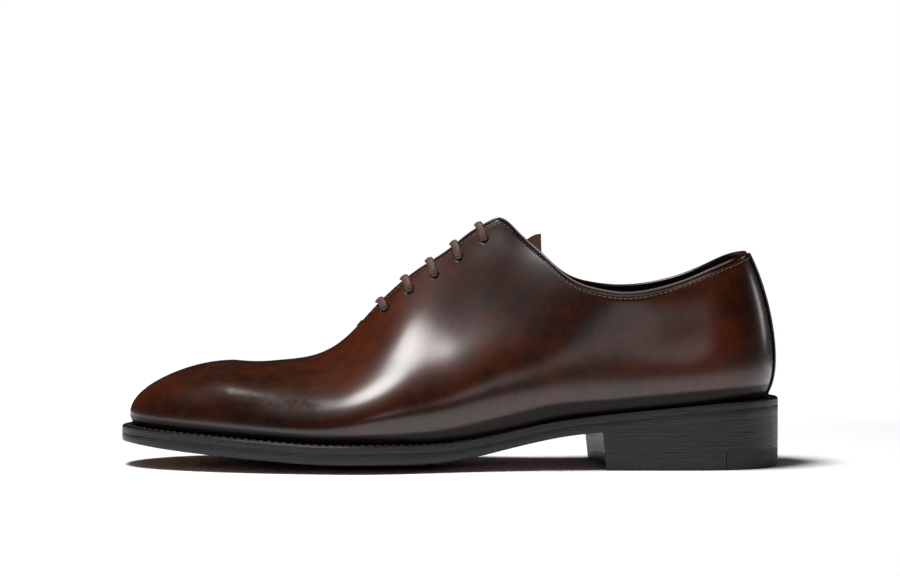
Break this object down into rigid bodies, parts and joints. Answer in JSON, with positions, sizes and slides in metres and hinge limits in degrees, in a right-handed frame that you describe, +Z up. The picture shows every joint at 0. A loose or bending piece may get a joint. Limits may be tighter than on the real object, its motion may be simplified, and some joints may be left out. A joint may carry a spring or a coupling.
{
  "type": "oxford shoe",
  "caption": "Brown whole cut oxford, left shoe, with a black welted leather sole, stacked heel and straight laces.",
  "frame": {"origin": "on the floor, below the middle of the shoe's box", "axes": "+Z up, toe towards -X, heel towards +X, outer (lateral) side of this left shoe towards -Y"},
  "size_m": [0.3076, 0.1044, 0.1166],
  "materials": {
    "patina_leather": "polished, hand dyed",
    "edge_leather": "inked and waxed edge",
    "sock_leather": "smooth, matt",
    "lift_rubber": "matt",
    "strip_leather": "polished, near black",
    "lace_cotton": "waxed braid"
  },
  "bodies": {
    "root": {"upper": "patina_leather", "tongue": "patina_leather", "insole": "sock_leather", "welt": "edge_leather", "outsole": "edge_leather", "heel_stack": "edge_leather", "lift_leather": "edge_leather", "lift_rubber": "lift_rubber", "backstay": "strip_leather", "lace": "lace_cotton"}
  },
  "joints": []
}
